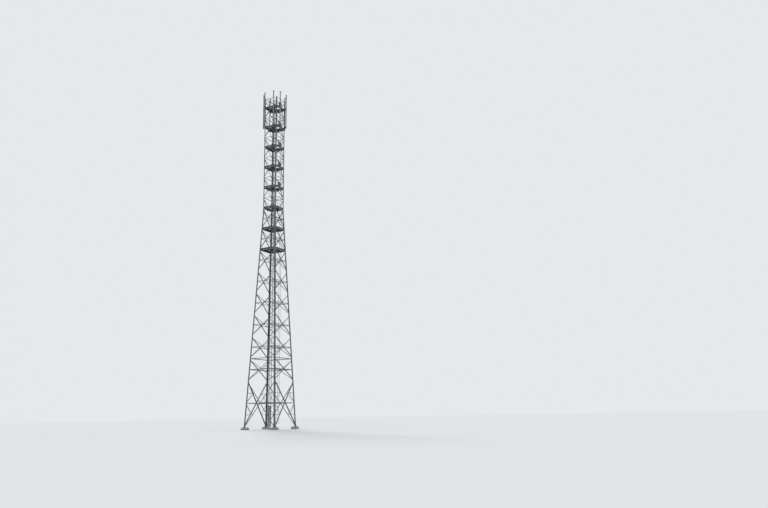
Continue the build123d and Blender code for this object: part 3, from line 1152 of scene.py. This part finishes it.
ladderClips = {
    "height": 0.045,
    "length": 0.05,  # of the foot that lies on a beam
    "thick": 0.005,
    "edge": 0.006,  # from a clip's end to the edge it stops at
    "lift": 0.0002,  # over the beam
    "boltRise": 0.027,  # of the bolt in the stile, over the beam
    "boltOut": 0.031,  # of the bolt in the beam, from the stile
    "bolt": 0.6,
    "standOff": 0.1,  # a support that is longer than this is a stand-off
    "bracketFace": 0.2203,  # from the mast's axis to the outside of a bracket
    "bracketBolt": 0.015,  # from the end of a bracket to its bolt
    "stile": 0.012,  # thickness of a stile
}
frameBolts = {
    "inset": 0.035,
    "rises": (0.05, 0.16),
    "joist": 0.304,  # from the mast's axis to the middle of a joist
    "joistRises": (0.022, 0.058),
    "size": 0.7,
}


def bracketBolts(low, high, stiles):
    # the stand-off's two brackets lie outside the lower ladder's stiles
    x, height, size = low.x + ladderClips["bracketBolt"], (low.z + high.z) / 2, ladderClips["bolt"]
    for way, face in ((-1, stiles[0].y), (1, stiles[1].y)):
        outer, inner = axis.y + way * ladderClips["bracketFace"], face - way * ladderClips["stile"]
        heads.append(((x, outer, height), (0, way, 0), size))
        nuts.append(((x, inner, height), (0, -way, 0), size))


def ladderClip(work, beam, stiles, way):
    # an angle clip between the top of a beam and the outside of a stile
    thick, edge, size = ladderClips["thick"], ladderClips["edge"], ladderClips["bolt"]
    face = stiles[1 if way > 0 else 0].y + way * mast["seatGap"]
    top = beam[1].z + ladderClips["lift"]
    start, end = min(beam[0].x, stiles[0].x) + edge, max(beam[1].x, stiles[1].x) - edge
    sides = sorted((face, face + way * thick))
    work.block((start, sides[0], top), (end, sides[1], top + ladderClips["height"]))
    foot = sorted((face + way * thick, face + way * ladderClips["length"]))
    work.block((beam[0].x + edge, foot[0], top), (beam[1].x - edge, foot[1], top + thick))
    spot = ((stiles[0].x + stiles[1].x) / 2, face + way * thick, top + ladderClips["boltRise"])
    heads.append((spot, (0, way, 0), size))
    spot = ((beam[0].x + beam[1].x) / 2, face + way * ladderClips["boltOut"], top + thick)
    heads.append((spot, (0, 0, 1), size))


def ladderWork():
    work = PlateWork("ladder_clips", "ladders")
    lower, upper, cable = (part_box(name) for name in ("lower_ladder", "upper_ladder", "cable_ladder"))
    for low, high in islandBoxes(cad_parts["ladder_supports"]):
        if high.x - low.x > ladderClips["standOff"]:
            bracketBolts(low, high, lower)
            continue
        stiles = cable if low.x > upper[1].x else upper
        for way in (-1, 1):
            ladderClip(work, (low, high), stiles, way)
    work.done()


def frameWork():
    # bolts at the corners of each platform's frame and at the ends of its joists
    inset, size = frameBolts["inset"], frameBolts["size"]
    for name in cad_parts:
        if not name.startswith("platform_frame"):
            continue
        low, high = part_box(name)
        for y, facing in ((low.y, -1), (high.y, 1)):
            for x in (low.x + inset, high.x - inset):
                for rise in frameBolts["rises"]:
                    heads.append(((x, y, low.z + rise), (0, facing, 0), size))
        for x, facing in ((low.x, -1), (high.x, 1)):
            for side in (-1, 1):
                for rise in frameBolts["joistRises"]:
                    spot = (x, axis.y + side * frameBolts["joist"], low.z + rise)
                    heads.append((spot, (facing, 0, 0), size))


ladderWork()
frameWork()
print("stage: ladders and frames have their fixings")

for name, points, withShank in (("bolt_heads", heads, False), ("bolt_nuts", nuts, True)):
    mesh = runTree(boltTree(name + "_tree", withShank), pointMesh(name, points), boltInputs)
    finishPiece(name, mesh, "bolts")
print("stage: bolts are made,", len(heads), "heads and", len(nuts), "nuts")

# floor, light and camera

studio = {
    "paper": (0.86, 0.87, 0.88),
    "paperPatches": (0.05, 2),  # their scale and detail
    "paperShade": 0.985,
    "backdrop": (0.79, 0.81, 0.84),
    "floorSize": 900,
    "sunFrom": (-0.5, 0.55, 0.65),
    "sunStrength": 1.9,
    "sunAngle": 12,
    "skyStrength": 0.5,
}


def paperFinish():
    material, board, shader, place = newFinish("studioPaper")
    faint, tone = board.noise(place, *studio["paperPatches"]), studio["paper"]
    colour = board.mix(faint, shade(tone, studio["paperShade"]), shade(tone))
    connect(board, shader, Base_Color=colour, Roughness=1.0, Specular_IOR_Level=0)
    return material


def buildStudio():
    half = studio["floorSize"] / 2
    mesh = bpy.data.meshes.new("floor")
    corners = [(-half, -half, 0), (half, -half, 0), (half, half, 0), (-half, half, 0)]
    mesh.from_pydata([Vector(corner) + axis for corner in corners], [], [(0, 1, 2, 3)])
    floor = newObject("floor", mesh)
    mesh.materials.append(paperFinish())
    world = bpy.data.worlds.new("studio")
    bpy.context.scene.world = world
    world.use_nodes = True
    board = Board(world.node_tree)
    background = world.node_tree.nodes["Background"]
    # the backdrop as it is seen or mirrored, and a softer light on the mast
    path = board.node("ShaderNodeLightPath", output="Is Camera Ray")
    seen = path + path.out("Is Glossy Ray") + path.out("Is Transmission Ray")
    seen = board.node("ShaderNodeMath", {"operation": "MINIMUM"}, {0: seen, 1: 1.0})
    lit = studio["skyStrength"] / studio["backdrop"][1]
    connect(board, background, Color=shade(studio["backdrop"]), Strength=seen * (1 - lit) + lit)
    sun = newObject("sun", bpy.data.lights.new("sun", "SUN"))
    sun.data.energy = studio["sunStrength"]
    sun.data.angle = math.radians(studio["sunAngle"])
    sun.rotation_euler = Vector(studio["sunFrom"]).to_track_quat("Z", "Y").to_euler()


photoView = {
    "focal": 735,  # in pixels of the frame's width
    "frameWidth": 768,
    "sensor": 36,
    "farthest": 2000,
    "place": (49.02, -68.52, 1.365),  # from the mast's foot, on its axis
    "heading": 26.771,  # degrees to the left of the way back from the front
    "pitch": 12.339,
    "roll": -1.036,
}


def buildCamera():
    heading, pitch, roll = (math.radians(photoView[key]) for key in ("heading", "pitch", "roll"))
    reach = math.cos(pitch)
    ahead = Vector((-math.sin(heading) * reach, math.cos(heading) * reach, math.sin(pitch)))
    right = Vector((math.cos(heading), math.sin(heading), 0))
    up = right.cross(ahead)
    tiltedRight = right * math.cos(roll) + up * math.sin(roll)
    tiltedUp = up * math.cos(roll) - right * math.sin(roll)
    turn = Matrix((tiltedRight, tiltedUp, -ahead)).transposed()
    camera = newObject("photoCamera", bpy.data.cameras.new("photoCamera"))
    camera.data.sensor_width = photoView["sensor"]
    camera.data.lens = photoView["focal"] / photoView["frameWidth"] * photoView["sensor"]
    camera.data.clip_end = photoView["farthest"]
    camera.matrix_world = Matrix.Translation(Vector(photoView["place"]) + axis) @ turn.to_4x4()
    bpy.context.scene.camera = camera


buildStudio()
buildCamera()
bpy.context.scene.view_settings.view_transform = "Standard"
bpy.context.view_layer.update()
print("stage: the studio and the camera are set")
